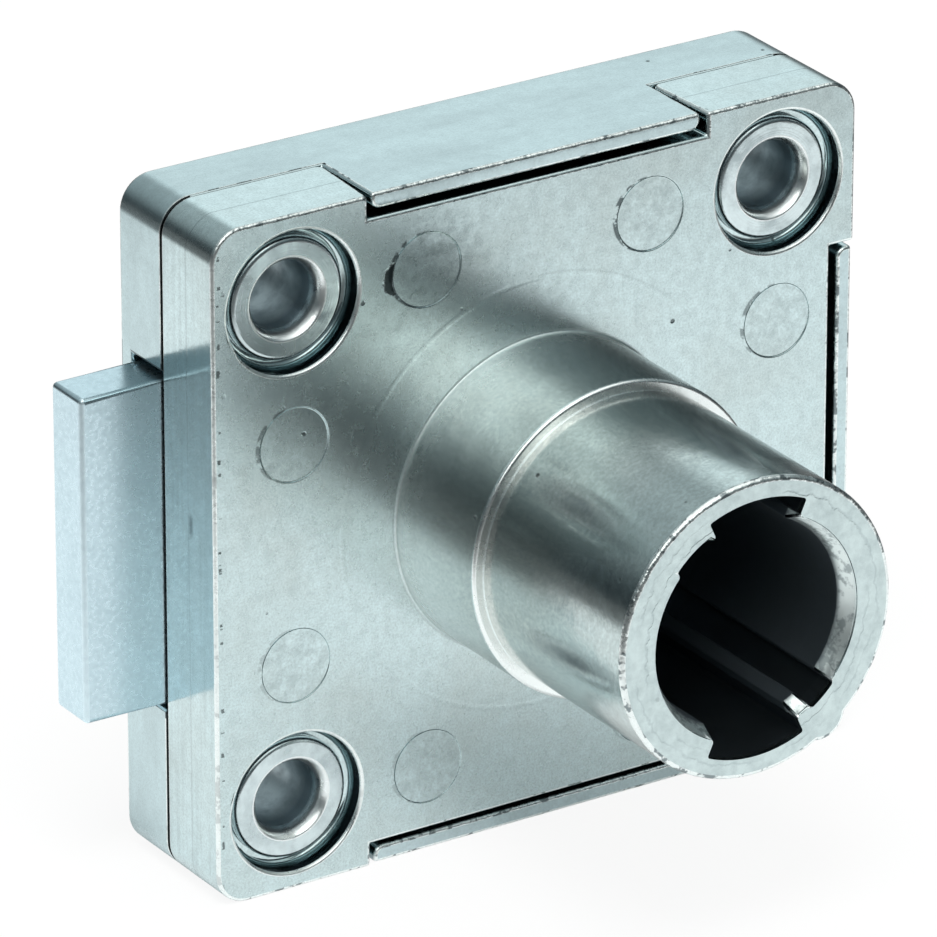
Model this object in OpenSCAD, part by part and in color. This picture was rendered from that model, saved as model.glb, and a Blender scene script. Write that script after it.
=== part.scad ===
// Screw-on cabinet deadlock for a push-in cylinder.
//
// A square die-cast housing with a tube on its front takes the cylinder.
// A rotary driver at the foot of the tube carries a crank pin, and the
// pin throws a flat bolt out of the side of the housing.
//
// Frame: the tube's axis is the Y axis, and y = 0 is the mounting face
// that lies against the door. The tube points to -Y, the bolt to -X.

/* [Housing] */
// Width of the housing, along the bolt
plate_w = 43.2; // [43:0.2:50]
// Height of the housing
plate_h = 41.4; // [41:0.2:48]
// Thickness of the front casting
front_t = 5.4; // [5:0.1:7]
// Thickness of the rear casing
rear_t = 4.5; // [4.5:0.1:6]
// Radius of the four upright corners
corner_r = 2.0; // [1:0.1:3]
// Skin left in front of the front casting's pockets
front_skin = 1.9; // [1.6:0.1:2.4]
// Side walls of both castings
wall = 1.5; // [1.2:0.1:1.8]

/* [Interlocking edges] */
// Length of the notches in the top and bottom edges
notch_len = 22.8; // [18:0.2:23]
// Depth of the notches in the top and bottom edges
notch_deep = 1.4; // [1.2:0.05:1.6]
// Length of the notch in the edge away from the bolt
side_notch_len = 21.2; // [16:0.2:21.4]
// Depth of the notch in the edge away from the bolt
side_notch_deep = 1.65; // [1.2:0.05:1.8]
// Thickness of the rear casing's tongues
tongue_t = 1.0; // [0.8:0.05:1.1]
// Gap at each end of a tongue, in the mounting face
tongue_gap = 0.4; // [0.35:0.05:0.6]
// Step back of a tongue's end from the mounting face
tongue_back = 0.2; // [0.1:0.05:0.6]
// Radius of a tongue's inner corners
tongue_r = 0.6; // [0.2:0.05:0.75]
// Draft of a notch's ends, as the length lost towards the seam at each end
notch_draft = 0.3; // [0:0.05:0.3]
// Radius where a notch's ends meet the seam
notch_r = 0.6; // [0.3:0.1:0.8]

/* [Tube] */
// Outer diameter of the tube
tube_d = 18.0; // [17.6:0.1:18.6]
// Length of the tube from the mounting face
tube_len = 22.0; // [18:0.5:28]
// Diameter of the thicker collar at its foot
collar_d = 19.3; // [19:0.1:20.4]
// Length of the collar
collar_len = 8.1; // [5:0.1:12]
// Direction of the outer rib, from +X towards +Z
rib_angle = 305; // [290:1:320]
// Radius of the outer rib's round back
rib_r = 1.6; // [1.2:0.1:1.8]
// Height of the outer rib above the tube
rib_h = 0.45; // [0.2:0.05:0.6]

/* [Cylinder seat] */
// Bore that carries the cylinder
bore_d = 12.4; // [12:0.1:12.8]
// Diameter of the bore's flared mouth, at the tube's end
mouth_d = 13.5; // [13.2:0.1:13.8]
// Depth of the flared mouth
mouth_deep = 1.2; // [0.6:0.1:2]
// Diameter over the two tumbler channels
channel_d = 15.6; // [14.4:0.1:15.8]
// Width of each tumbler channel, as an angle
channel_arc = 48.8; // [36:0.2:54]
// Diameter over the narrow keyway
keyway_d = 13.9; // [13.6:0.1:14.4]
// Start of the keyway, from +X towards +Z
keyway_angle = 303; // [300:0.5:306]
// Width of the keyway, as an angle
keyway_arc = 15.5; // [10:0.5:20]
// Diameter over the shallow relief in the mouth
relief_d = 14.2; // [13.9:0.1:14.8]
// Start of the relief, from +X towards +Z
relief_angle = 116; // [115:0.5:122]
// Width of the relief, as an angle
relief_arc = 23; // [10:1:30]
// Depth of the relief
relief_deep = 0.8; // [0.3:0.1:1]
// Floor of the channels, in front of the mounting face
channel_floor = 1.2; // [0.8:0.1:3]

/* [Fixing holes] */
// Distance between the holes along the bolt
pitch_x = 32.6; // [32:0.1:32.8]
// Distance between the holes across the bolt
pitch_z = 30.8; // [30.4:0.1:31]
// Round recess round each hole in the face
recess_d = 8.6; // [8.2:0.1:9]
// Depth of that recess
recess_deep = 1.35; // [1.2:0.05:1.6]
// Fillet between the recess's wall and floor
recess_fillet = 0.45; // [0.3:0.05:0.5]
// Hole through each hollow rivet, for a 4 mm screw
screw_hole_d = 4.2; // [4:0.1:4.4]
// Wall of a hollow rivet
rivet_wall = 0.5; // [0.4:0.05:0.6]
// Diameter of a rivet's rolled end in the face
rivet_roll_d = 7.4; // [7.2:0.1:8]
// Thickness of a rivet's rolled end
rivet_roll_t = 0.7; // [0.5:0.05:0.8]
// Radius of the roll at its rim
rivet_roll_r = 0.35; // [0.2:0.05:0.35]
// Width of the bell mouth into the hole, outside the hole's radius
bell_w = 0.4; // [0.2:0.05:0.45]
// Depth of the bell mouth
bell_deep = 0.9; // [0.5:0.1:1.1]
// Diameter of a rivet's countersunk head at the back
rivet_head_d = 7.8; // [7.4:0.1:8.2]
// Boss round each rivet in the rear casing
boss_d = 8.0; // [7.8:0.1:8.4]
// Boss round each rivet in the front casting
front_boss_d = 10.4; // [10:0.2:11]

/* [Bolt] */
// Height of the bolt's blade
bolt_h = 20.0; // [16:0.2:20.4]
// Thickness of the bolt
bolt_t = 3.2; // [2.8:0.1:3.4]
// Overall length of the bolt
bolt_len = 36.0; // [33:0.5:38]
// Travel of the bolt, and how far it stands out when thrown
bolt_throw = 5.3; // [4:0.1:5.4]
// Height of the bolt behind its shoulders
shoulder_h = 22.4; // [21.6:0.1:22.6]
// Radius of the blade's two free corners
bolt_corner_r = 0.3; // [0.2:0.1:0.6]
// Gap above and below the blade where it leaves the housing
mouth_gap = 0.45; // [0.2:0.05:0.5]

/* [Driver] */
// Diameter of the driver's flange
flange_d = 17.0; // [16.4:0.1:17.2]
// Thickness of the flange
flange_t = 2.9; // [2.4:0.1:3]
// How far the driver's nose reaches in front of the face
nose_reach = 0.8; // [0.2:0.1:1]
// Width of the slot that takes the cylinder's tail
socket_w = 3.0; // [2.4:0.1:3.4]
// Length of that slot
socket_len = 8.6; // [7.6:0.2:9]
// Depth of that slot
socket_deep = 2.6; // [1.5:0.1:3]
// Diameter of the crank pin
crank_d = 3.0; // [2.6:0.1:3.4]
// Reach of the stop lug beyond the flange
lug_reach = 1.2; // [0.8:0.1:1.4]
// Width of the stop lug, as an angle
lug_arc = 24; // [16:1:30]
// Thickness of the stop lug
lug_t = 1.6; // [1.2:0.1:1.8]

/* [Detent spring] */
// Thickness of the spring strip
spring_t = 0.4; // [0.3:0.05:0.5]
// Width of the spring strip
spring_w = 2.6; // [2:0.1:2.8]
// Place of the spring's point along the bolt
spring_x = 2.0; // [1:0.5:2.5]
// Half the span of the spring
spring_half = 8.2; // [7.6:0.1:8.4]
// Depth of the notches that the spring drops into
detent_deep = 0.6; // [0.4:0.05:0.7]

/* [Clearances] */
// Radial running clearance of the driver
run_gap = 0.05; // [0.02:0.01:0.1]
// Running clearance in front of and behind the moving pieces
side_gap = 0.05; // [0.03:0.01:0.08]
// Clearance of the bolt in its guides and at its shoulders
guide_gap = 0.1; // [0.05:0.01:0.2]
// Play of the crank pin in the bolt's slot, on each side
crank_play = 0.65; // [0.62:0.01:0.8]
// Clearance of a rivet in its holes
rivet_gap = 0.05; // [0.02:0.01:0.1]

/* [Hidden] */
$fn = 64;
OVER = 0.5;
total_t = front_t + rear_t;
// The bolt runs straight behind the front casting
bolt_y0 = front_t + side_gap;
bolt_y1 = bolt_y0 + bolt_t;
cavity_y1 = bolt_y1 + side_gap;
bolt_end = -plate_w / 2 - bolt_throw;
bolt_tail = bolt_end + bolt_len;
shoulder_x = -plate_w / 2 + wall + guide_gap;
crank_r = bolt_throw / 2;
crank_slot_w = crank_d + 2 * crank_play;
crank_slot_h = 2 * crank_r + crank_d + 2 * crank_play;
// The driver lies in a round seat behind the tube
seat_d = flange_d + 2 * run_gap;
seat_y = front_t - flange_t - 2 * side_gap;
flange_y0 = seat_y + side_gap;
flange_y1 = flange_y0 + flange_t;
driver_nose_d = bore_d - 2 * run_gap;
lug_r = flange_d / 2 + lug_reach;
lug_y0 = flange_y1 - lug_t;
// Half a turn takes the crank pin from one dead centre to the other
driver_turn = 180;
// Angle left between the lug and each end of its pocket
stop_play = 1;
centre_boss_d = 2 * (lug_r + wall);
// Rails that the bolt slides between and on
rail_z = shoulder_h / 2 + guide_gap;
rail_t = 1.2;
rail_window = 6;
front_rail_z = 8.6;
front_rail_t = 1.8;
// Posts that hold the spring's ends
post_len = 4.5;
spring_leg = 3.2;
spring_tip = 1;
spring_rise = 0.5;
// The hollow rivets' barrel, countersunk head and rolled end
barrel_r = screw_hole_d / 2 + rivet_wall;
head_r = rivet_head_d / 2;
head_y0 = total_t - (head_r - barrel_r);
cone_wall = rivet_wall * sqrt(2);
roll_y0 = recess_deep - rivet_roll_t;
// Radius of the bell mouth's curve, which runs out into the hole
bell_r = (bell_w * bell_w + bell_deep * bell_deep) / (2 * bell_w);
// Round marks that the ejector pins leave on the face
mark_d = 4.5;
mark_deep = 0.06;
mark_x = 7.5;
mark_z = 6.8;
STEEL = "#aeb9bd";
NICKEL = "#c3cfcf";
ZINC = "#a9b7be";

// Solid over an outline given in X and Z, from y0 to y1
module along_y(y0, y1) {
    translate([0, y1, 0])
        rotate([90, 0, 0])
            linear_extrude(height = y1 - y0)
                children();
}

// Solid of revolution about the Y axis, from an outline in radius and Y
module about_y() {
    rotate([-90, 0, 0])
        rotate_extrude()
            children();
}

// Outline turned upside down for a negative sign
module mirror_z(s) {
    if (s < 0) mirror([0, 1]) children();
    else children();
}

// Rectangle about the origin with round corners
module round_rect(w, h, r) {
    square([w - 2 * r, h], center = true);
    square([w, h - 2 * r], center = true);
    for (sx = [-1, 1], sz = [-1, 1])
        translate([sx * (w / 2 - r), sz * (h / 2 - r)])
            circle(r);
}

// Rectangle between two corners
module block(x0, z0, x1, z1) {
    translate([x0, z0])
        square([x1 - x0, z1 - z0]);
}

// What a rounding of radius r leaves of the corner at the origin
module corner_cut(r) {
    difference() {
        translate([-OVER, -OVER])
            square(r + OVER);
        translate([r, r])
            circle(r);
    }
}

// Sector of a disc, from one angle to another
module sector(r, from, to) {
    steps = ceil((to - from) / 60);
    intersection() {
        circle(r);
        polygon(concat([[0, 0]],
            [for (i = [0:steps])
                let (a = from + (to - from) * i / steps)
                    2 * r * [cos(a), sin(a)]]));
    }
}

// Copies of an outline at the four fixing holes
module at_holes() {
    for (sx = [-1, 1], sz = [-1, 1])
        translate([sx * pitch_x / 2, sz * pitch_z / 2])
            children();
}

// Copies of a solid at the four fixing holes
module at_rivets() {
    for (sx = [-1, 1], sz = [-1, 1])
        translate([sx * pitch_x / 2, 0, sz * pitch_z / 2])
            children();
}

// Outline of the housing
module outline() {
    round_rect(plate_w, plate_h, corner_r);
}

// Plan of one notch of length len at the face, narrower towards the seam
module notch_plan(len) {
    seam_half = len / 2 - notch_draft;
    polygon([[-len / 2, -OVER], [len / 2, -OVER], [len / 2, 0], [seam_half, front_t],
             [seam_half, front_t + OVER], [-seam_half, front_t + OVER], [-seam_half, front_t],
             [-len / 2, 0]]);
    for (turn = [0, 1])
        mirror([turn, 0])
            translate([seam_half, front_t])
                mirror([0, 1])
                    corner_cut(notch_r);
}

// Notch cut into the edge that lies at the given distance up the Z axis
module edge_notch(edge, len, deep) {
    translate([0, 0, edge - deep])
        linear_extrude(height = deep + OVER)
            notch_plan(len);
}

// The notches in the top, bottom and free side edges
module notches() {
    for (turn = [0, 180])
        rotate([0, turn, 0])
            edge_notch(plate_h / 2, notch_len, notch_deep);
    rotate([0, 90, 0])
        edge_notch(plate_w / 2, side_notch_len, side_notch_deep);
}

// Hollows behind the face that keep the casting's walls even
module front_pockets() {
    x0 = -plate_w / 2 + wall + tongue_t;
    x1 = plate_w / 2 - side_notch_deep - wall;
    z1 = plate_h / 2 - notch_deep - wall;
    difference() {
        block(x0, -z1, x1, z1);
        circle(d = centre_boss_d);
        at_holes() circle(d = front_boss_d);
        for (s = [-1, 1])
            mirror_z(s)
                block(x0 - OVER, front_rail_z, x1 + OVER, front_rail_z + front_rail_t);
    }
}

// Outline of the bore with its channels and keyway
module bore_outline() {
    circle(d = bore_d);
    for (a = [90, 270])
        sector(channel_d / 2, a - channel_arc / 2, a + channel_arc / 2);
    sector(keyway_d / 2, keyway_angle, keyway_angle + keyway_arc);
}

// Outside of the tube: collar, tube and rib
module tube_outside() {
    along_y(-collar_len, OVER)
        circle(d = collar_d);
    along_y(-tube_len, 0)
        circle(d = tube_d);
    along_y(-tube_len, 0)
        rotate(rib_angle)
            translate([tube_d / 2 + rib_h - rib_r, 0])
                circle(rib_r);
}

// Round recess with a filleted floor
module recess() {
    about_y()
        difference() {
            block(0, -OVER, recess_d / 2, recess_deep);
            translate([recess_d / 2, recess_deep])
                rotate(180)
                    corner_cut(recess_fillet);
        }
}

// Mouth of the bore: a flare, and the shallow relief beside it
module mouth() {
    flare = (mouth_d - bore_d) / 2 / mouth_deep;
    translate([0, -tube_len, 0])
        about_y()
            polygon([[0, -OVER], [mouth_d / 2 + flare * OVER, -OVER],
                     [bore_d / 2 - flare * OVER, mouth_deep + OVER], [0, mouth_deep + OVER]]);
    along_y(-tube_len - OVER, -tube_len + relief_deep)
        sector(relief_d / 2, relief_angle, relief_angle + relief_arc);
}

module front_housing() {
    color(NICKEL)
    difference() {
        union() {
            along_y(0, front_t) outline();
            tube_outside();
        }
        notches();
        along_y(front_skin, front_t + OVER) front_pockets();
        at_rivets() recess();
        along_y(0, front_t + OVER) at_holes() circle(barrel_r + rivet_gap);
        // Seat of the cylinder
        along_y(-tube_len - OVER, seat_y + OVER) circle(d = bore_d);
        along_y(-tube_len - OVER, -channel_floor) bore_outline();
        mouth();
        // Seat of the driver, and the pocket that its stop lug sweeps
        along_y(seat_y, front_t + OVER) circle(d = seat_d);
        along_y(lug_y0 - side_gap, front_t + OVER)
            sector(lug_r + run_gap, -driver_turn - lug_arc / 2 - stop_play, lug_arc / 2 + stop_play);
        along_y(-OVER, mark_deep) {
            for (sx = [-1, 1], sz = [-1, 1]) {
                translate([sx * mark_x, sz * pitch_z / 2]) circle(d = mark_d);
                translate([sx * pitch_x / 2, sz * mark_z]) circle(d = mark_d);
            }
        }
    }
}

// Outline of the tongue for a notch of length len, its outer side on the X axis
module tongue(len) {
    half = len / 2 - tongue_gap;
    difference() {
        block(-half, -tongue_t, half, 0);
        for (turn = [0, 1])
            mirror([turn, 0])
                translate([-half, -tongue_t])
                    corner_cut(tongue_r);
    }
}

// The three tongues that reach forward into the notches
module tongues() {
    for (s = [-1, 1])
        mirror_z(s)
            translate([0, plate_h / 2])
                tongue(notch_len);
    translate([plate_w / 2, 0])
        rotate(-90)
            tongue(side_notch_len);
}

// Guides beside the bolt, and the posts that hold the spring
module guides() {
    inner_x = plate_w / 2 - wall + OVER;
    inner_z = plate_h / 2 - wall + OVER;
    block(-inner_x, rail_z, spring_x - rail_window, rail_z + rail_t);
    block(spring_x + rail_window, rail_z, inner_x, rail_z + rail_t);
    block(-inner_x, -rail_z - rail_t, inner_x, -rail_z);
    for (s = [-1, 1]) {
        x = spring_x + s * (spring_half + spring_t / 2 + guide_gap + wall / 2);
        block(x - wall / 2, inner_z - post_len, x + wall / 2, inner_z);
    }
}

// Room inside the rear casing
module cavity() {
    difference() {
        square([plate_w - 2 * wall, plate_h - 2 * wall], center = true);
        difference() {
            at_holes() circle(d = boss_d);
            square([plate_w, 2 * rail_z], center = true);
        }
        guides();
    }
}

module rear_casing() {
    hole_r = barrel_r + rivet_gap;
    sink_r = head_r + rivet_gap;
    color(NICKEL)
    difference() {
        union() {
            along_y(front_t, total_t) outline();
            along_y(tongue_back, total_t - OVER) tongues();
        }
        along_y(front_t - OVER, cavity_y1)
            cavity();
        along_y(front_t - OVER, cavity_y1)
            bolt_mouth();
        along_y(front_t - OVER, total_t + OVER)
            at_holes() circle(hole_r);
        at_rivets()
            about_y()
                polygon([[0, head_y0], [hole_r, head_y0], [sink_r, total_t],
                         [sink_r, total_t + OVER], [0, total_t + OVER]]);
    }
}

// Opening in the side wall that the bolt's blade passes
module bolt_mouth() {
    half = bolt_h / 2 + mouth_gap;
    block(-plate_w / 2 - OVER, -half, -plate_w / 2 + wall + OVER, half);
}

// Flat bolt with shoulders, a slot for the crank pin and two detent notches
module bolt() {
    color(ZINC)
    along_y(bolt_y0, bolt_y1)
        difference() {
            union() {
                translate([(bolt_end + bolt_tail) / 2, 0])
                    round_rect(bolt_len, bolt_h, bolt_corner_r);
                translate([(shoulder_x + bolt_tail) / 2, 0])
                    round_rect(bolt_tail - shoulder_x, shoulder_h, bolt_corner_r);
            }
            translate([-crank_r, 0])
                round_rect(crank_slot_w, crank_slot_h, crank_slot_w / 2 - 0.01);
            for (x = [spring_x, spring_x - bolt_throw])
                translate([x, shoulder_h / 2])
                    detent_notch();
        }
}

// V-shaped notch with slopes of 1 in 2, its mouth on the X axis
module detent_notch() {
    polygon([[-2 * (detent_deep + OVER), OVER], [0, -detent_deep], [2 * (detent_deep + OVER), OVER]]);
}

// Driver: flange, nose with its slot, crank pin and stop lug
module driver() {
    color(ZINC)
    difference() {
        union() {
            along_y(-nose_reach, flange_y0 + OVER) circle(d = driver_nose_d);
            along_y(flange_y0, flange_y1) circle(d = flange_d);
            along_y(lug_y0, flange_y1)
                sector(lug_r, -lug_arc / 2, lug_arc / 2);
            along_y(flange_y1 - OVER, bolt_y1)
                translate([-crank_r, 0])
                    circle(d = crank_d);
        }
        along_y(-nose_reach - OVER, -nose_reach + socket_deep)
            square([socket_w, socket_len], center = true);
    }
}

// Strip of even thickness along a chain of points
module strip(path, t) {
    for (i = [0:len(path) - 2]) {
        d = path[i + 1] - path[i];
        translate(path[i])
            rotate(atan2(d[1], d[0]))
                translate([0, -t / 2])
                    square([norm(d), t]);
    }
    for (i = [1:len(path) - 2])
        translate(path[i])
            circle(t / 2);
}

// Leaf spring between two posts, its point in the bolt's notch
module detent_spring() {
    top = plate_h / 2 - wall - side_gap;
    knee = top - spring_leg;
    point = shoulder_h / 2 - detent_deep + spring_t / 2 + guide_gap;
    mid_y = (bolt_y0 + bolt_y1) / 2;
    color(STEEL)
    along_y(mid_y - spring_w / 2, mid_y + spring_w / 2)
        translate([spring_x, 0])
            strip([[-spring_half, top], [-spring_half, knee], [-spring_tip, point + spring_rise], [0, point],
                   [spring_tip, point + spring_rise], [spring_half, knee], [spring_half, top]], spring_t);
}

// Hollow rivet: rolled end in the face, countersunk head at the back
module rivet(sx, sz) {
    bore_r = screw_hole_d / 2;
    roll_r = rivet_roll_d / 2;
    color(STEEL)
    translate([sx * pitch_x / 2, 0, sz * pitch_z / 2])
        about_y()
            difference() {
                union() {
                    polygon([[bore_r, roll_y0], [barrel_r, roll_y0], [barrel_r, head_y0], [head_r, total_t],
                             [head_r - cone_wall, total_t], [bore_r, head_y0 + bore_r - barrel_r + cone_wall]]);
                    block(bore_r, roll_y0, roll_r - rivet_roll_r, recess_deep);
                    block(bore_r, roll_y0 + rivet_roll_r, roll_r, recess_deep);
                    translate([roll_r - rivet_roll_r, roll_y0 + rivet_roll_r])
                        circle(rivet_roll_r);
                }
                // Bell mouth into the hole
                difference() {
                    block(bore_r - OVER, roll_y0 - OVER, bore_r + bell_w, roll_y0 + bell_deep);
                    translate([bore_r + bell_r, roll_y0 + bell_deep])
                        circle(bell_r);
                }
            }
}

front_housing();
rear_casing();
bolt();
driver();
detent_spring();
rivet(-1, 1);  // rivet_top_left
rivet(1, 1);  // rivet_top_right
rivet(-1, -1);  // rivet_bottom_left
rivet(1, -1);  // rivet_bottom_right
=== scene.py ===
"""Looks of the screw-on cabinet deadlock: castings, bolt, rivets, driver and spring in a plain studio."""
import math

import bmesh
import bpy
from mathutils import Matrix, Vector


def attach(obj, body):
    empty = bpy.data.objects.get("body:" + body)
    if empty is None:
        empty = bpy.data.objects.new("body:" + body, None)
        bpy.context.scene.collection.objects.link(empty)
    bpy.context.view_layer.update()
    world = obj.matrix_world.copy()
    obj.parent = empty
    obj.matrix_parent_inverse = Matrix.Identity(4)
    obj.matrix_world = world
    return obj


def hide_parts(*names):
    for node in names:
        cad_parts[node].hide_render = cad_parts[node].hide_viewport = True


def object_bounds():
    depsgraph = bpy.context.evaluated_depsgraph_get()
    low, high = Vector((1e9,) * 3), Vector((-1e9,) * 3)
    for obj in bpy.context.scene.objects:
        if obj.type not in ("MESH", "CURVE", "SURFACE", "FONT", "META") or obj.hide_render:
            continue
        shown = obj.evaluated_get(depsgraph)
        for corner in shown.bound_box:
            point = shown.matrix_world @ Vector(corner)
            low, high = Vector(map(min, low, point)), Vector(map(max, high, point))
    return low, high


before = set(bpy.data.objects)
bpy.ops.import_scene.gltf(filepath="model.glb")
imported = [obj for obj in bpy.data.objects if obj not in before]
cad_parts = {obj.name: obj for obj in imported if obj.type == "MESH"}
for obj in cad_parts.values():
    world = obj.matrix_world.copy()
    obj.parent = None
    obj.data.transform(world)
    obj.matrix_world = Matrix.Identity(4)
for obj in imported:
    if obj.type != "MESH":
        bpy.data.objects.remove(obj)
cad_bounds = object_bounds()
MM = 0.001

# Sizes of the lock that the finish follows, in millimetres
PLATE_X = 21.6
PLATE_Z = 20.7
TUBE_R = 9.0
COLLAR_R = 9.65
COLLAR_LEN = 8.1
NOSE_Y = -22.0
MOUTH_R = 8.2
CHANNEL_R = 7.8
LEAD_IN_R = 6.75
LEAD_IN_Y = -20.8
FOOT_FILLET = 0.14
STEP_ROUND = 0.22
NOSE_ROUND = 0.28
MARK_ROUND = 0.07
MARK_X = 7.5
MARK_Z = 6.8
MARK_R = 2.25
TORN_X = -9.45
TORN_Z = 15.35
RUB_Y = 2.5
RUB_Z = 2.2
PITCH_X = 32.6
PITCH_Z = 30.8
RECESS_R = 4.3
INSERT_R = 13.2
FRONT_T = 5.4
PARTING_Y = 2.75

# Camera: where it stands round the tube's axis, and the lens that gives the photo's frame
VIEW_TURN = math.radians(-33.264)
VIEW_RISE = math.radians(24.179)
VIEW_ROLL = math.radians(0.195)
VIEW_DISTANCE = 561.3 * MM
FOCAL_PIXELS = 9868.3
FRAME_PIXELS = 937
SENSOR_WIDTH = 36.0
AIM_LEFT = 3.993 * MM
AIM_UP = 1.302 * MM

# White sheet that the lock stands on: its turn, half length and half width, the softness of its edge as a share of
# these, and what the metal sees beyond it
SHEET_TURN = math.radians(-45)
SHEET_LONG = 134 * MM
SHEET_WIDE = 67 * MM
SHEET_SOFT = 0.35
SHEET_BEYOND = 0.12
# How far the floor is pure white, to the lens and to the metal. The rest is painted and keeps the lock's shadow
LENS_WHITE = 0.9
MIRROR_WHITE = 0.25
# Lamp that lights the sheet and throws the lock's soft shadow on it: direction, softness in degrees and strength
LAMP = (-0.25, -0.35, 0.9)
LAMP_SOFT = 22
LAMP_STRENGTH = 1.5
# Dim surroundings near the horizon and higher up
DIM_LOW = "#31383b"
DIM_HIGH = "#7b8789"
# Soft panels of the studio: direction, inner and outer angle in degrees, glow and hue
PANELS = [((-0.12, -0.62, 0.77), 15, 25, 1.15, "#fffdf8"),
          ((0.08, -0.16, 0.98), 26, 41, 0.95, "#fffdf8"),
          ((-0.57, -0.5, 0.655), 8, 18, 2.0, "#fffdf8"),
          ((0.5, 0.763, 0.41), 5, 24, 0.77, "#f6ffff"),
          ((-0.3, 0.66, 0.69), 10, 34, 0.2, "#f6ffff"),
          ((0.25, 0.763, 0.6), 10, 30, 0.12, "#f6ffff")]


def linear(hex_colour, alpha=1.0):
    """Linear colour from an sRGB hex value."""
    parts = [int(hex_colour[i:i + 2], 16) / 255 for i in (1, 3, 5)]
    return [p / 12.92 if p <= 0.04045 else ((p + 0.055) / 1.055) ** 2.4 for p in parts] + [alpha]


def put(tree, kind, inputs=(), **settings):
    """Adds a shader node with its settings, and sets or links its inputs. A node stands for its first output."""
    node = tree.nodes.new("ShaderNode" + kind)
    for name, value in settings.items():
        setattr(node, name, value)
    for key, value in inputs.items() if isinstance(inputs, dict) else enumerate(inputs):
        if isinstance(value, bpy.types.Node):
            value = next(output for output in value.outputs if output.enabled)
        if isinstance(value, bpy.types.NodeSocket):
            tree.links.new(value, node.inputs[key])
        else:
            node.inputs[key].default_value = value
    return node


def new_material(name):
    """Empty node material and its tree."""
    material = bpy.data.materials.new(name)
    material.use_nodes = True
    material.node_tree.nodes.clear()
    return material, material.node_tree


def in_millimetres(tree):
    """Place on the piece, in millimetres."""
    place = put(tree, "TexCoord").outputs["Object"]
    return put(tree, "VectorMath", {0: place, "Scale": 1 / MM}, operation="SCALE")


def distance(tree, at, centre, mirrored=False):
    """Distance in mm from a line along Y through a centre, or through its four mirror images."""
    if mirrored:
        at = put(tree, "VectorMath", [at], operation="ABSOLUTE")
    off = put(tree, "VectorMath", [at, (centre[0], 0, centre[1])], operation="SUBTRACT")
    flat = put(tree, "VectorMath", [off, (1, 0, 1)], operation="MULTIPLY")
    return put(tree, "VectorMath", [flat], operation="LENGTH")


def band(tree, value, middle, half, soft):
    """Mask that is 1 within half of a middle value, and falls to 0 over the next soft millimetres."""
    off = put(tree, "Math", [value, middle], operation="SUBTRACT")
    size = put(tree, "Math", [off], operation="ABSOLUTE")
    return put(tree, "MapRange", [size, half, half + soft, 1.0, 0.0], interpolation_type="SMOOTHSTEP")


def product(tree, first, *factors):
    """Masks and shares multiplied: what is left is where all of them are."""
    for factor in factors:
        first = put(tree, "Math", [first, factor], operation="MULTIPLY")
    return first


def pits(tree, at, size, share):
    """Mask of small round pits, size millimetres apart, in a share of the places they could be in."""
    cells = put(tree, "TexVoronoi", {"Vector": at, "Scale": 1 / size})
    lot = put(tree, "SeparateColor", [cells.outputs["Color"]])
    return product(tree, put(tree, "MapRange", [cells.outputs["Distance"], 0.07, 0.13, 1.0, 0.0]),
                   put(tree, "MapRange", [lot, 1 - share, 1.02 - share]))


def outer_corners(tree, at, y):
    """Mask of the housing's four upright rounded corners, behind the mounting face."""
    across = put(tree, "VectorMath", [at], operation="ABSOLUTE")
    across = put(tree, "SeparateXYZ", [across]).outputs
    return product(tree, put(tree, "MapRange", [across["X"], PLATE_X - 2.4, PLATE_X - 1.2]),
                   put(tree, "MapRange", [across["Z"], PLATE_Z - 2.4, PLATE_Z - 1.2]),
                   put(tree, "MapRange", [y, 0.1, 0.2]))


def painted(tree, base, layers):
    """Colours laid over a base. Each layer is a colour, then the share and the masks that bound it."""
    colour = linear(base)
    for hue, *bounds in layers:
        hue = linear(hue) if isinstance(hue, str) else hue
        colour = put(tree, "Mix", {"Factor": product(tree, *bounds), "A": colour, "B": hue}, data_type="RGBA")
    return colour


def dulled(tree, base, additions):
    """Roughness from a base value. Each addition is an amount, then the masks where it is added."""
    for amount, *masks in additions:
        base = put(tree, "Math", [product(tree, *masks), amount, base], operation="MULTIPLY_ADD")
    return base


def metal(tree, colour, roughness, heights):
    """Bare or plated metal. heights are (height, strength, depth in mm), the coarsest first."""
    normal = None
    for height, strength, depth in heights:
        inputs = {"Height": height, "Strength": strength, "Distance": depth * MM}
        if normal:
            inputs["Normal"] = normal
        normal = put(tree, "Bump", inputs)
    shader = put(tree, "BsdfPrincipled", {"Base Color": colour, "Metallic": 1.0, "Roughness": roughness,
                                          "Normal": normal})
    put(tree, "OutputMaterial", {"Surface": shader})


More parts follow.
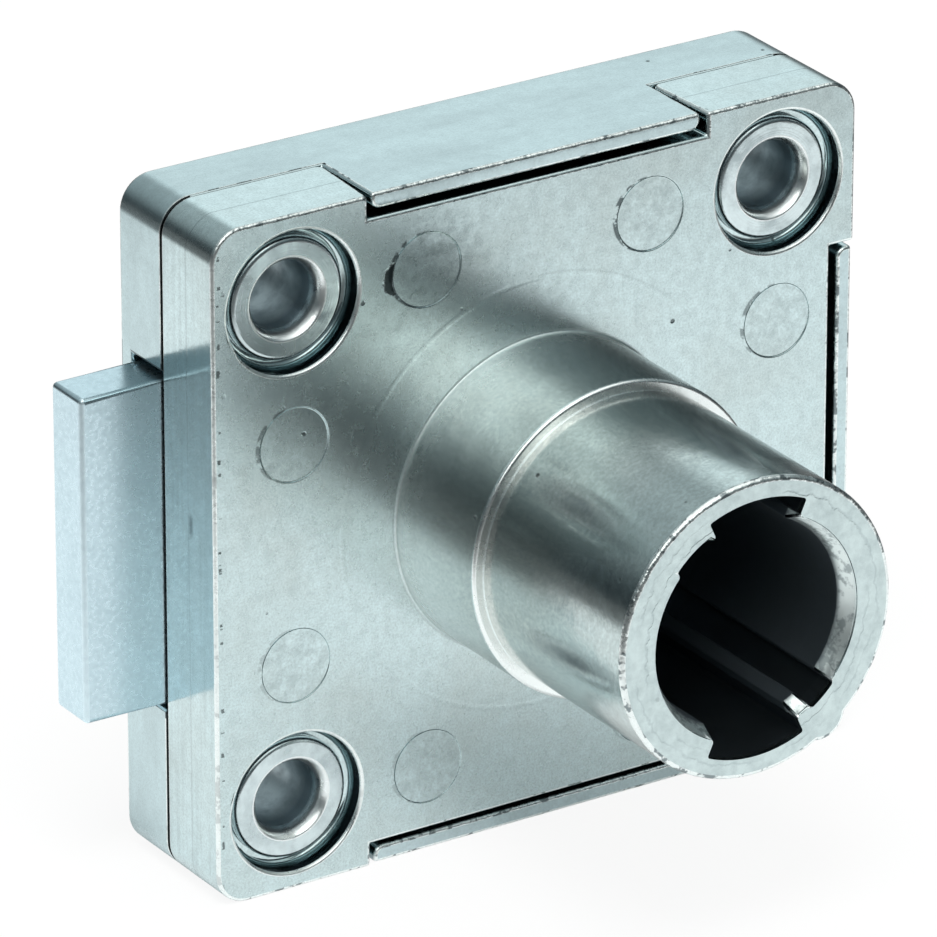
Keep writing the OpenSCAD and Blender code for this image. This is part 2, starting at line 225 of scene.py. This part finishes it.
def front_skin():
    """Bright nickel plate over a pressure die-cast zinc skin, barrel-finished before it was plated.

    The plate is thin and follows the cast skin. On the mounting face it is satin and cloudy, with fine mottling,
    stray pits, the rings and blurred grey floors that the ejector pins left, and the fine line of the die's round
    insert. The tube was turned brighter and warmer, and its foot is pale. The sides mirror well and carry the thin
    line where the die parted. The bore is dull dark zinc that the plating bath hardly reached.
    """
    material, tree = new_material("nickel_plated_zinc_casting")
    at = in_millimetres(tree)
    x, y, z = put(tree, "SeparateXYZ", [at]).outputs
    radius = distance(tree, at, (0, 0))
    cloud = put(tree, "TexNoise", {"Vector": at, "Scale": 1 / 7.0, "Detail": 4.0, "Roughness": 0.6})
    swell = put(tree, "TexNoise", {"Vector": at, "Scale": 1 / 4.0, "Detail": 2.0})
    mottle = put(tree, "TexNoise", {"Vector": at, "Scale": 1 / 0.8, "Detail": 3.0, "Roughness": 0.65})
    # The real grain of the plate is about 0.03 mm, too fine to show, so it is drawn at 0.13 mm
    grain = put(tree, "TexNoise", {"Vector": at, "Scale": 1 / 0.13, "Detail": 1.0})

    face = product(tree, put(tree, "MapRange", [y, 0.3, 0.2]), put(tree, "MapRange", [y, -0.1, -0.04]))
    tube = put(tree, "MapRange", [y, -0.04, -0.1])
    foot = product(tree, tube, put(tree, "MapRange", [y, -8.5, -0.5]))
    lowest = product(tree, tube, put(tree, "MapRange", [y, -4.0, 0.0]))
    nose = put(tree, "MapRange", [y, NOSE_Y + 0.3, NOSE_Y + 0.15])
    step = band(tree, y, -COLLAR_LEN + 0.08, 0.16, 0.05)
    inside = put(tree, "MapRange", [radius, CHANNEL_R + 0.15, CHANNEL_R + 0.05])
    channels = product(tree, put(tree, "MapRange", [radius, LEAD_IN_R + 0.1, LEAD_IN_R + 0.2]),
                       put(tree, "MapRange", [y, NOSE_Y + 0.1, NOSE_Y + 0.5]))
    deep = put(tree, "MapRange", [y, LEAD_IN_Y - 0.2, LEAD_IN_Y + 0.1])
    lining = product(tree, inside, put(tree, "Math", [channels, deep], operation="MAXIMUM"))
    lead_in = product(tree, put(tree, "MapRange", [radius, LEAD_IN_R + 0.15, LEAD_IN_R + 0.05]),
                      put(tree, "MapRange", [y, NOSE_Y + 0.05, NOSE_Y + 0.15]))
    lead_in_slope = product(tree, lead_in, put(tree, "MapRange", [y, NOSE_Y, LEAD_IN_Y]))

    pin = put(tree, "Math", [distance(tree, at, (MARK_X, PITCH_Z / 2), True),
                             distance(tree, at, (PITCH_X / 2, MARK_Z), True)], operation="MINIMUM")
    pin_floor = product(tree, face, put(tree, "MapRange", [pin, MARK_R, MARK_R - 0.15]))
    # Painted shade in the step on the left of each mark: a dark crescent between the ring and the same ring shifted
    # left
    shifted = put(tree, "VectorMath", [at, (0.3, 0, -0.08)], operation="ADD")
    left_pin = put(tree, "Math", [distance(tree, shifted, (MARK_X, PITCH_Z / 2), True),
                                  distance(tree, shifted, (PITCH_X / 2, MARK_Z), True)], operation="MINIMUM")
    pin_step_shade = product(tree, face, put(tree, "MapRange", [left_pin, MARK_R + 0.04, MARK_R - 0.04]),
                       put(tree, "MapRange", [pin, MARK_R, MARK_R + 0.05]),
                       put(tree, "MapRange", [mottle, 0.44, 0.5]), put(tree, "MapRange", [z, 0.0, 12.0, 0.3, 1.0]))
    first_pin = distance(tree, at, (-MARK_X, PITCH_Z / 2))
    # A torn lip on the left of the first mark, pressed in a little by bump and painted near black as its painted
    # shade
    ragged = put(tree, "Math", [mottle, 0.9, distance(tree, at, (TORN_X, TORN_Z))], operation="MULTIPLY_ADD")
    torn_lip_and_shade = product(tree, face, put(tree, "MapRange", [ragged, 1.45, 1.35]),
                       put(tree, "MapRange", [first_pin, MARK_R + 0.02, MARK_R + 0.1]))
    smudge = product(tree, face, put(tree, "MapRange", [first_pin, 4.2, 1.0]),
                     put(tree, "MapRange", [mottle, 0.3, 0.7]))

    # Two fine creases wander round the nose, where the metal met last
    wander = put(tree, "TexNoise", {"Vector": at, "Scale": 1 / 1.3, "Detail": 3.0, "Roughness": 0.65})
    wandering = put(tree, "Math", [wander, 1.1, radius], operation="MULTIPLY_ADD")
    outer_crease = product(tree, nose, band(tree, wandering, TUBE_R - 0.38, 0.01, 0.1),
                           put(tree, "MapRange", [swell, 0.42, 0.56]))
    inner_crease = product(tree, nose, band(tree, wandering, TUBE_R - 1.05, 0.01, 0.08),
                           put(tree, "MapRange", [swell, 0.6, 0.5]))
    creases = put(tree, "Math", [outer_crease, inner_crease], operation="MAXIMUM")

    parting = band(tree, y, PARTING_Y, 0.02, 0.06)
    rivet = distance(tree, at, (PITCH_X / 2, PITCH_Z / 2), True)
    # Painted shade: the wall of the recess round each rivet is painted near black, where the gap beside the rivet's
    # rim lies in shadow
    well = product(tree, band(tree, rivet, RECESS_R, 0.14, 0.06), put(tree, "MapRange", [y, 0.1, 0.22]),
                   put(tree, "MapRange", [y, 1.0, 0.8]))
    corner = outer_corners(tree, at, y)
    insert = product(tree, face, band(tree, radius, INSERT_R, 0.03, 0.2))
    fillet = product(tree, band(tree, radius, COLLAR_R + 0.08, 0.1, 0.04), put(tree, "MapRange", [y, -0.35, -0.25]),
                     put(tree, "MapRange", [y, 0.3, 0.2]))
    # A row of dark nicks a little inside the plate's left edge
    along = put(tree, "TexNoise", {"W": z, "Scale": 1 / 0.9, "Detail": 2.0, "Roughness": 0.7}, noise_dimensions="1D")
    beside = put(tree, "Math", [mottle, 0.5, x], operation="MULTIPLY_ADD")
    edge_row = product(tree, face, band(tree, beside, -PLATE_X + 0.65, 0.05, 0.06),
                       put(tree, "MapRange", [along, 0.6, 0.64]))
    # The left side bears fine upright draw marks from the die, and one short dark rub
    left_side = put(tree, "MapRange", [x, -PLATE_X + 0.2, -PLATE_X + 0.1])
    upright = put(tree, "Mapping", {"Vector": at, "Scale": (1.0, 1.0, 0.04)})
    streaks = put(tree, "TexNoise", {"Vector": upright, "Scale": 1 / 0.35, "Detail": 2.0})
    rub = product(tree, left_side, band(tree, y, RUB_Y, 0.04, 0.3), band(tree, z, RUB_Z, 0.2, 0.8))
    # Pits 1.3 mm or more apart, and none in the bore
    pit = put(tree, "Math", [pits(tree, at, 1.3, 0.07), edge_row], operation="MAXIMUM")
    pit = product(tree, pit, put(tree, "MapRange", [lining, 1.0, 0.0]))

    mottled = put(tree, "MapRange", [mottle, 0.35, 0.75])
    # Sand-like speckle of the plated tube, drawn at 0.25 mm for grains of about 0.05 mm
    sand = put(tree, "TexNoise", {"Vector": at, "Scale": 1 / 0.25, "Detail": 2.0, "Roughness": 0.7})
    sanded = put(tree, "MapRange", [sand, 0.35, 0.65])
    tube_hue = painted(tree, "#d3e0e0", [("#dfe2de", put(tree, "MapRange", [y, -19.0, -13.0])),
                                         ("#bac4c3", 0.3, mottled), ("#a9b4b4", 0.5, sanded)])
    nose_hue = painted(tree, "#ccdadb", [("#b6c4c6", mottled)])
    colour = painted(tree, "#d5e7ea", [
        ("#c5d0cf", 0.7, put(tree, "MapRange", [cloud, 0.45, 0.75])),
        ("#b8c7c8", 0.45, mottled),
        ("#98a8aa", 0.3, put(tree, "MapRange", [grain, 0.4, 0.7])),
        ("#aab9bb", 0.5, pin_floor, mottled),
        ("#7f8d90", 0.6, smudge),
        (tube_hue, tube),
        ("#eef1ee", foot),
        ("#bcc5c5", 0.4, foot, sanded),
        ("#d5e0e0", 0.3, fillet),
        # Painted highlight: the collar's front step is painted near white as a soft band of light
        ("#f4fafa", step),
        (nose_hue, nose),
        ("#e2ecec", lead_in),
        ("#6b7a80", 0.6, lead_in, put(tree, "MapRange", [mottle, 0.5, 0.62])),
        ("#84939a", 0.25, creases),
        ("#7d8a90", 0.25, parting),
        ("#8d9ca0", 0.18, left_side, put(tree, "MapRange", [streaks, 0.45, 0.7])),
        ("#4f5a5e", 0.6, rub),
        # Painted shade in the step left of each ejector mark
        ("#3a4448", 0.8, pin_step_shade),
        ("#20282b", 0.9, torn_lip_and_shade),
        ("#4a5254", 0.8, pit),
        # Painted shade in the rivets' recesses
        ("#2a3236", well),
        ("#747f87", lining)])

    roughness = dulled(tree, 0.11, [(0.13, face), (0.05, tube), (0.02, foot), (0.1, lowest), (0.14, corner),
                                    (0.08, step), (0.06, mottled), (0.12, fillet), (0.22, lining), (0.2, lead_in)])
    uneven = dulled(tree, 0.25, [(0.15, corner), (0.15, tube)])
    heights = [(lead_in_slope, 1.0, 0.6), (swell, dulled(tree, 0.4, [(0.6, tube)]), 0.035), (mottle, uneven, 0.014),
               (grain, 0.3, 0.005), (insert, 0.4, 0.012)]
    for groove, strength, depth in ((creases, 0.5, 0.015), (parting, 0.4, 0.015), (torn_lip_and_shade, 0.8, 0.05),
                                    (pit, 0.8, 0.04)):
        heights.append((product(tree, groove, -1.0), strength, depth))
    metal(tree, colour, roughness, heights)
    return material


def rubbed_edge_glints():
    """Nickel on the castings' edges, nicked and rubbed in the barrel: painted near white between dark nicks, so that
    painted glints show in short bright dashes.

    The rims of the rivets' recesses were less touched. Where the castings meet, the seam is painted near black as the
    shade of the groove between them. The edges inside the bore are dark, and those round the bolt's opening are
    painted dark, partly as shade and partly as soot from the bolt's rubbing.
    """
    material, tree = new_material("nickel_rubbed_edges_painted_glints")
    at = in_millimetres(tree)
    x, y, z = put(tree, "SeparateXYZ", [at]).outputs
    radius = distance(tree, at, (0, 0))
    nick = put(tree, "TexNoise", {"Vector": at, "Scale": 1 / 1.1, "Detail": 3.0, "Roughness": 0.7})
    chip = put(tree, "TexNoise", {"Vector": at, "Scale": 1 / 0.4, "Detail": 2.0})
    bore = product(tree, put(tree, "MapRange", [radius, MOUTH_R, MOUTH_R - 0.1]),
                   put(tree, "MapRange", [y, NOSE_Y + 0.3, NOSE_Y + 0.8]))
    rim = product(tree, band(tree, distance(tree, at, (PITCH_X / 2, PITCH_Z / 2), True), RECESS_R, 0.3, 0.2),
                  put(tree, "MapRange", [y, 1.2, 0.8]))
    calm = put(tree, "Math", [bore, rim], operation="MAXIMUM")
    rough = product(tree, put(tree, "MapRange", [calm, 0.0, 1.0, 1.0, 0.15]),
                    put(tree, "MapRange", [x, -PLATE_X + 0.1, -PLATE_X + 0.6, 0.35, 1.0]))
    # Painted shade: the seam where the castings meet is painted near black, as the narrow groove between them is in
    # shadow
    seam = band(tree, y, FRONT_T, 0.1, 0.05)
    # Painted shade and soot: the edges round the bolt's opening are painted dark, for the shade there and the bolt's
    # rubbing
    opening = product(tree, put(tree, "MapRange", [x, -PLATE_X + 0.7, -PLATE_X + 0.6]), band(tree, z, 0.0, 10.9, 0.1),
                      put(tree, "MapRange", [y, FRONT_T, FRONT_T + 0.1]))
    # Painted glints: near white edges broken by dark nicks into short bright dashes
    colour = painted(tree, "#f0f7f7", [("#5f6d73", 0.8, rough, put(tree, "MapRange", [nick, 0.55, 0.6])),
                                       ("#5f6b71", bore), ("#39444a", 0.85, opening), ("#1d2224", seam)])
    metal(tree, colour, put(tree, "MapRange", [nick, 0.3, 0.7, 0.2, 0.4]), [(nick, rough, 0.08), (chip, rough, 0.04)])
    return material


def rear_skin():
    """The rear casting's nickel: as on the front, with long faint flow clouds of the metal that filled the die."""
    material, tree = new_material("nickel_plated_zinc_rear_casting")
    at = in_millimetres(tree)
    y = put(tree, "SeparateXYZ", [at]).outputs["Y"]
    drawn = put(tree, "Mapping", {"Vector": at, "Scale": (0.5, 1.6, 0.5)})
    flow = put(tree, "TexNoise", {"Vector": drawn, "Scale": 1 / 5.0, "Detail": 5.0, "Roughness": 0.6})
    swell = put(tree, "TexNoise", {"Vector": at, "Scale": 1 / 5.0, "Detail": 3.0})
    mottle = put(tree, "TexNoise", {"Vector": at, "Scale": 1 / 0.8, "Detail": 4.0, "Roughness": 0.65})
    # Drawn at 0.13 mm as on the front casting
    grain = put(tree, "TexNoise", {"Vector": at, "Scale": 1 / 0.13, "Detail": 2.0})
    pit = pits(tree, at, 1.3, 0.06)
    corner = outer_corners(tree, at, y)
    mottled = put(tree, "MapRange", [mottle, 0.35, 0.75])
    flowed = put(tree, "MapRange", [flow, 0.4, 0.75])
    grained = put(tree, "MapRange", [grain, 0.4, 0.7])
    colour = painted(tree, "#cbdee2", [("#b6c6ca", 0.8, flowed), ("#aebec2", 0.35, mottled),
                                       ("#98a8aa", 0.25, grained), ("#4a5254", 0.8, pit)])
    roughness = dulled(tree, 0.13, [(0.07, flowed), (0.05, mottled), (0.14, corner)])
    metal(tree, colour, roughness, [(swell, 0.4, 0.03), (mottle, dulled(tree, 0.3, [(0.6, corner)]), 0.012),
                                    (grain, 0.3, 0.005), (product(tree, pit, -1.0), 0.8, 0.04)])
    return material


def barrelled_zinc():
    """The bolt's zinc: tumbled matt, blue-passivated, so it is grainy, cold in tone and glitters a little."""
    material, tree = new_material("blue_passivated_zinc_bolt")
    at = in_millimetres(tree)
    cloud = put(tree, "TexNoise", {"Vector": at, "Scale": 1 / 4.0, "Detail": 4.0, "Roughness": 0.6})
    grain = put(tree, "TexNoise", {"Vector": at, "Scale": 1 / 0.3, "Detail": 3.0, "Roughness": 0.6})
    glitter = put(tree, "TexNoise", {"Vector": at, "Scale": 1 / 0.1, "Detail": 1.0})
    grained = put(tree, "MapRange", [grain, 0.4, 0.75])
    colour = painted(tree, "#d3e8f1", [("#c1d7e0", 0.4, put(tree, "MapRange", [cloud, 0.4, 0.75])),
                                       ("#afc3cd", 0.3, grained)])
    metal(tree, colour, dulled(tree, 0.27, [(0.09, grained)]), [(cloud, 0.2, 0.02), (grain, 0.15, 0.01),
                                                               (glitter, 0.1, 0.004)])
    return material


def worn_zinc():
    """The bolt's rounded edges: bare zinc where the barrel wore the passivation thin, matt and pale."""
    material, tree = new_material("bare_zinc_on_bolt_edges")
    at = in_millimetres(tree)
    mottle = put(tree, "TexNoise", {"Vector": at, "Scale": 1 / 0.6, "Detail": 3.0, "Roughness": 0.6})
    colour = painted(tree, "#e4f7ff", [("#c8dce6", 0.3, put(tree, "MapRange", [mottle, 0.45, 0.65]))])
    metal(tree, colour, 0.42, [(mottle, 0.3, 0.03)])
    return material


def rolled_rivet():
    """Nickel-plated steel of the hollow rivets.

    The rolled rim bears fine rings from the tool, the bell that leads into the hole is painted near white as a
    painted highlight that widens the light it catches, and the hole itself is cloudy and dull.
    """
    material, tree = new_material("nickel_plated_rolled_rivet")
    at = in_millimetres(tree)
    y = put(tree, "SeparateXYZ", [at]).outputs["Y"]
    out = distance(tree, at, (PITCH_X / 2, PITCH_Z / 2), True)
    # Rings left by the tool, about 0.1 mm apart
    rings = put(tree, "TexNoise", {"W": out, "Scale": 1 / 0.11, "Detail": 3.0}, noise_dimensions="1D")
    cloud = put(tree, "TexNoise", {"Vector": at, "Scale": 1 / 1.6, "Detail": 4.0, "Roughness": 0.6})
    # Real grain about 0.03 mm, drawn at 0.13 mm so that it shows
    grain = put(tree, "TexNoise", {"Vector": at, "Scale": 1 / 0.13, "Detail": 3.0})
    bore = product(tree, put(tree, "MapRange", [out, 2.2, 2.1]), put(tree, "MapRange", [y, 1.6, 2.2]))
    throat = product(tree, put(tree, "MapRange", [out, 2.25, 2.12]), put(tree, "MapRange", [y, 1.3, 1.8]),
                     put(tree, "MapRange", [y, 4.2, 2.4]))
    # Painted highlight: the bell into the hole is painted near white
    bell = product(tree, band(tree, out, 2.35, 0.22, 0.04), put(tree, "MapRange", [y, 2.4, 2.2]))
    clouded = put(tree, "MapRange", [cloud, 0.4, 0.7])
    colour = painted(tree, "#dae7ea", [("#aab8bc", 0.7, clouded), ("#eff5f6", bell), ("#d9e4e8", bore),
                                       ("#9aa8ae", 0.8, bore, clouded), ("#76848b", throat)])
    roughness = dulled(tree, 0.2, [(0.1, clouded), (0.22, bore), (0.06, bell)])
    metal(tree, colour, roughness, [(cloud, dulled(tree, 0.4, [(0.6, bore)]), 0.06), (rings, 0.35, 0.01),
                                    (grain, 0.3, 0.005)])
    return material


def raw_zinc():
    """Unplated zinc of the driver: grey, as cast, with a dry grain."""
    material, tree = new_material("raw_zinc_driver")
    at = in_millimetres(tree)
    cloud = put(tree, "TexNoise", {"Vector": at, "Scale": 1 / 3.0, "Detail": 4.0, "Roughness": 0.6})
    grain = put(tree, "TexNoise", {"Vector": at, "Scale": 1 / 0.3, "Detail": 3.0, "Roughness": 0.6})
    colour = painted(tree, "#8f9498", [("#74797c", 0.8, put(tree, "MapRange", [cloud, 0.4, 0.75]))])
    metal(tree, colour, put(tree, "MapRange", [grain, 0.3, 0.7, 0.35, 0.5]), [(cloud, 0.3, 0.03), (grain, 0.5, 0.02)])
    return material


def rolled_strip():
    """Spring steel strip: rolled bright, blued a little, with fine lines along its length."""
    material, tree = new_material("rolled_spring_strip")
    at = in_millimetres(tree)
    drawn = put(tree, "Mapping", {"Vector": at, "Scale": (0.05, 1.0, 0.4)})
    lines = put(tree, "TexNoise", {"Vector": drawn, "Scale": 1 / 0.15, "Detail": 2.0})
    lined = put(tree, "MapRange", [lines, 0.35, 0.7])
    colour = painted(tree, "#8d9196", [("#6f757e", 0.7, lined)])
    metal(tree, colour, dulled(tree, 0.22, [(0.12, lined)]), [(lines, 0.4, 0.01)])
    return material


def select_only(obj):
    """Leaves one object selected and active."""
    bpy.ops.object.select_all(action="DESELECT")
    obj.select_set(True)
    bpy.context.view_layer.objects.active = obj


def round_edges(piece, chosen, radius, segments, finish):
    """Rounds the sharp edges whose middle, in mm, is chosen. finish is the slot of the rounding's material."""
    bpy.ops.object.mode_set(mode="EDIT")
    bpy.ops.mesh.select_all(action="DESELECT")
    bpy.ops.mesh.edges_select_sharp(sharpness=math.radians(35))
    bpy.ops.object.mode_set(mode="OBJECT")
    points = piece.data.vertices
    points.foreach_set("select", [False] * len(points))
    piece.data.polygons.foreach_set("select", [False] * len(piece.data.polygons))
    for edge in piece.data.edges:
        middle = (points[edge.vertices[0]].co + points[edge.vertices[1]].co) / (2 * MM)
        edge.select = edge.select and chosen(middle)
        if edge.select:
            points[edge.vertices[0]].select = points[edge.vertices[1]].select = True
    bpy.ops.object.mode_set(mode="EDIT")
    bpy.ops.mesh.bevel(offset=radius * MM, segments=segments, profile=0.5, clamp_overlap=False, material=finish)
    bpy.ops.object.mode_set(mode="OBJECT")


def finished_copy(node, name, body, materials, roundings):
    """Copy of a solid with its sharp edges rounded as the real piece's are, a row of roundings at a time."""
    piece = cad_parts[node].copy()
    piece.data = piece.data.copy()
    piece.name = name
    piece.parent = None
    for key in list(piece.keys()):
        del piece[key]
    bpy.context.scene.collection.objects.link(piece)
    piece.data.materials.clear()
    for material in materials:
        piece.data.materials.append(material)
    select_only(piece)
    bpy.ops.object.mode_set(mode="EDIT")
    bpy.ops.mesh.select_mode(type="EDGE")
    bpy.ops.mesh.select_all(action="SELECT")
    bpy.ops.mesh.remove_doubles(threshold=0.002 * MM)
    bpy.ops.mesh.customdata_custom_splitnormals_clear()
    bpy.ops.mesh.dissolve_limited(angle_limit=math.radians(0.8))
    bpy.ops.object.mode_set(mode="OBJECT")
    for chosen, radius, segments, finish in roundings:
        round_edges(piece, chosen, radius, segments, finish)
    # Only edges that stick out were rubbed and carry the painted glints, so the hollow ones keep the skin's finish
    bpy.ops.object.mode_set(mode="EDIT")
    mesh = bmesh.from_edit_mesh(piece.data)
    for face in mesh.faces:
        if face.material_index and any(e.calc_face_angle_signed(0) < -0.2 for e in face.edges):
            face.material_index = 0
    bmesh.update_edit_mesh(piece.data)
    bpy.ops.object.mode_set(mode="OBJECT")
    bpy.ops.object.shade_smooth_by_angle(angle=math.radians(40))
    even = piece.modifiers.new("even_normals", "WEIGHTED_NORMAL")
    even.keep_sharp = True
    even.weight = 80
    bpy.ops.object.modifier_apply(modifier=even.name)
    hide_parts(node)
    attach(piece, body)
    return piece


def every_edge(p):
    """All sharp edges."""
    return True


def blade_edges(p):
    """Edges of the bolt's blade, where it stands out of the housing."""
    return p.x < -PLATE_X - 0.4


def collar_foot(p):
    """Inner corner where the collar leaves the mounting face."""
    return abs(p.y) < 0.05 and abs(math.hypot(p.x, p.z) - COLLAR_R) < 0.2


def collar_front(p):
    """Outer edge of the collar's front end."""
    return abs(p.y + COLLAR_LEN) < 0.05 and abs(math.hypot(p.x, p.z) - COLLAR_R) < 0.2


def nose_rim(p):
    """Outer edge of the tube's front end, and of the rib there."""
    return p.y < NOSE_Y + 0.05 and math.hypot(p.x, p.z) > MOUTH_R


def mark_rims(p):
    """Edges of the shallow ejector marks in the mounting face."""
    return -0.01 < p.y < 0.1 and marks_distance(p) < 0.3


def plain_edges(p):
    """Edges of the front casting that the barrel rounded: not the marks' rims, the nose or the collar's corners."""
    radius = math.hypot(p.x, p.z)
    nose = p.y < NOSE_Y + NOSE_ROUND + 0.05
    foot = abs(p.y) < 0.05 and abs(radius - COLLAR_R) < FOOT_FILLET + 0.2
    step = abs(p.y + COLLAR_LEN) < STEP_ROUND + 0.1 and abs(radius - TUBE_R) < 1.0
    return not (nose or foot or step or mark_rims(p))


def plate_edges(p):
    """Plain edges of the plate."""
    return p.y > -1 and plain_edges(p)


def bore_edges(p):
    """Plain edges of the tube's mouth and bore."""
    return p.y < -1 and plain_edges(p)


def marks_distance(p):
    """Distance of a point from the nearest rim of an ejector mark, in millimetres."""
    centres = [(sx * MARK_X, sz * PITCH_Z / 2) for sx in (-1, 1) for sz in (-1, 1)]
    centres += [(sx * PITCH_X / 2, sz * MARK_Z) for sx in (-1, 1) for sz in (-1, 1)]
    return min(abs(math.hypot(p.x - cx, p.z - cz) - MARK_R) for cx, cz in centres)


def build_pieces():
    """Every piece of the lock, with its edges and its finish."""
    skin, rear, edge = front_skin(), rear_skin(), rubbed_edge_glints()
    zinc, worn, raw, rolled, strip = barrelled_zinc(), worn_zinc(), raw_zinc(), rolled_rivet(), rolled_strip()
    finished_copy("front_housing", "front_casting", "housing", [skin, edge],
                  [(collar_foot, FOOT_FILLET, 3, 0), (collar_front, STEP_ROUND, 3, 0), (nose_rim, NOSE_ROUND, 3, 1),
                   (plate_edges, 0.2, 3, 1), (bore_edges, 0.15, 2, 1), (mark_rims, MARK_ROUND, 2, 0)])
    finished_copy("rear_casing", "rear_casting", "housing", [rear, edge], [(every_edge, 0.2, 3, 1)])
    finished_copy("bolt", "flat_bolt", "bolt", [zinc, worn],
                  [(blade_edges, 0.28, 4, 1), (every_edge, 0.1, 2, 0)])
    finished_copy("driver", "rotary_driver", "driver", [raw], [(every_edge, 0.1, 2, 0)])
    finished_copy("detent_spring", "leaf_spring", "housing", [strip], [(every_edge, 0.03, 2, 0)])
    for corner in ("top_left", "top_right", "bottom_left", "bottom_right"):
        finished_copy("rivet_" + corner, "hollow_rivet_" + corner, "housing", [rolled],
                      [(every_edge, 0.05, 2, 0)])


def view_axes():
    """The camera's right, up and backward directions."""
    back = Vector((math.sin(VIEW_TURN) * math.cos(VIEW_RISE), -math.cos(VIEW_TURN) * math.cos(VIEW_RISE),
                   math.sin(VIEW_RISE)))
    level = Vector((math.cos(VIEW_TURN), math.sin(VIEW_TURN), 0))
    upright = back.cross(level)
    right = level * math.cos(VIEW_ROLL) + upright * math.sin(VIEW_ROLL)
    up = upright * math.cos(VIEW_ROLL) - level * math.sin(VIEW_ROLL)
    return right, up, back


def add_camera():
    """Camera that stands and aims as the photo's does."""
    right, up, back = view_axes()
    place = back * VIEW_DISTANCE
    aim = up * AIM_UP - right * AIM_LEFT
    away = (place - aim).normalized()
    side = up.cross(away).normalized()
    camera = bpy.data.objects.new("camera", bpy.data.cameras.new("camera"))
    bpy.context.scene.collection.objects.link(camera)
    turn = Matrix((side, away.cross(side), away)).transposed().to_4x4()
    camera.matrix_world = Matrix.Translation(place) @ turn
    camera.data.sensor_width = SENSOR_WIDTH
    camera.data.lens = FOCAL_PIXELS * SENSOR_WIDTH / FRAME_PIXELS
    camera.data.clip_start = 0.01
    camera.data.clip_end = 20
    bpy.context.scene.camera = camera


def add_floor():
    """Floor that is white to the lens, with the lock's faint shadow, and white near the lock to the metal."""
    bpy.ops.object.select_all(action="DESELECT")
    bpy.ops.mesh.primitive_plane_add(size=6, location=(0, 0, cad_bounds[0][2]))
    floor = bpy.context.object
    floor.name = "floor"
    material, tree = new_material("white_studio_floor")
    place = put(tree, "TexCoord").outputs["Object"]
    oval = put(tree, "Mapping", {"Vector": place, "Rotation": (0, 0, SHEET_TURN),
                                 "Scale": (SHEET_LONG, SHEET_WIDE, 1)}, vector_type="TEXTURE")
    off = put(tree, "VectorMath", [oval], operation="LENGTH")
    sheet = put(tree, "MapRange", [off, 1 - SHEET_SOFT, 1 + SHEET_SOFT, 1.0, SHEET_BEYOND],
                interpolation_type="SMOOTHSTEP")
    path = put(tree, "LightPath").outputs
    lens = put(tree, "Math", [path["Is Camera Ray"], LENS_WHITE], operation="MULTIPLY")
    mirrored = put(tree, "Math", [path["Is Glossy Ray"], path["Is Transmission Ray"]], operation="MAXIMUM")
    mirrored = product(tree, mirrored, sheet, MIRROR_WHITE)
    shown = put(tree, "Math", [lens, mirrored], operation="MAXIMUM")
    pale = put(tree, "Math", [path["Is Camera Ray"], sheet], operation="MAXIMUM")
    paint = put(tree, "BsdfDiffuse", {"Color": painted(tree, "#101213", [("#fafafa", pale)])})
    white = put(tree, "Emission", {"Color": linear("#ffffff"), "Strength": 1.0})
    surface = put(tree, "MixShader", [shown, paint, white])
    put(tree, "OutputMaterial", {"Surface": surface})
    floor.data.materials.append(material)


def add_lamp():
    """Lamp over the front left, which the metal doesn't mirror: it lights the sheet and throws the soft shadow."""
    lamp = bpy.data.objects.new("lamp", bpy.data.lights.new("lamp", "SUN"))
    bpy.context.scene.collection.objects.link(lamp)
    lamp.data.energy = LAMP_STRENGTH
    lamp.data.angle = math.radians(LAMP_SOFT)
    lamp.rotation_euler = (-Vector(LAMP)).to_track_quat("-Z", "Y").to_euler()
    lamp.visible_glossy = False


def panel(tree, way, middle, inner, outer, level):
    """Glow of a soft panel: level within inner degrees of a direction, falling to nothing at outer degrees."""
    near = put(tree, "VectorMath", [way, Vector(middle).normalized()], operation="DOT_PRODUCT")
    return put(tree, "MapRange", [near, math.cos(math.radians(outer)), math.cos(math.radians(inner)), 0.0, level],
               interpolation_type="SMOOTHSTEP")


def add_world():
    """White backdrop to the lens. To the metal, a dim cool studio with soft panels."""
    world = bpy.data.worlds.new("studio")
    world.use_nodes = True
    tree = world.node_tree
    tree.nodes.clear()
    way = put(tree, "TexCoord").outputs["Generated"]
    rise = put(tree, "SeparateXYZ", [way]).outputs["Z"]
    light = painted(tree, DIM_LOW, [(DIM_HIGH, put(tree, "MapRange", [rise, 0.12, 0.55]))])
    for middle, inner, outer, level, hue in PANELS:
        glow = panel(tree, way, middle, inner, outer, level)
        glow = put(tree, "VectorMath", {0: linear(hue)[:3], "Scale": glow}, operation="SCALE")
        light = put(tree, "VectorMath", [light, glow], operation="ADD")
    lens = put(tree, "LightPath").outputs["Is Camera Ray"]
    light = put(tree, "Mix", {"Factor": lens, "A": light, "B": linear("#ffffff")}, data_type="RGBA")
    glow = put(tree, "Background", {"Color": light, "Strength": 1.0})
    put(tree, "OutputWorld", {"Surface": glow})
    bpy.context.scene.world = world


add_camera()
add_floor()
add_lamp()
add_world()
build_pieces()
bpy.context.scene.view_settings.view_transform = "Standard"
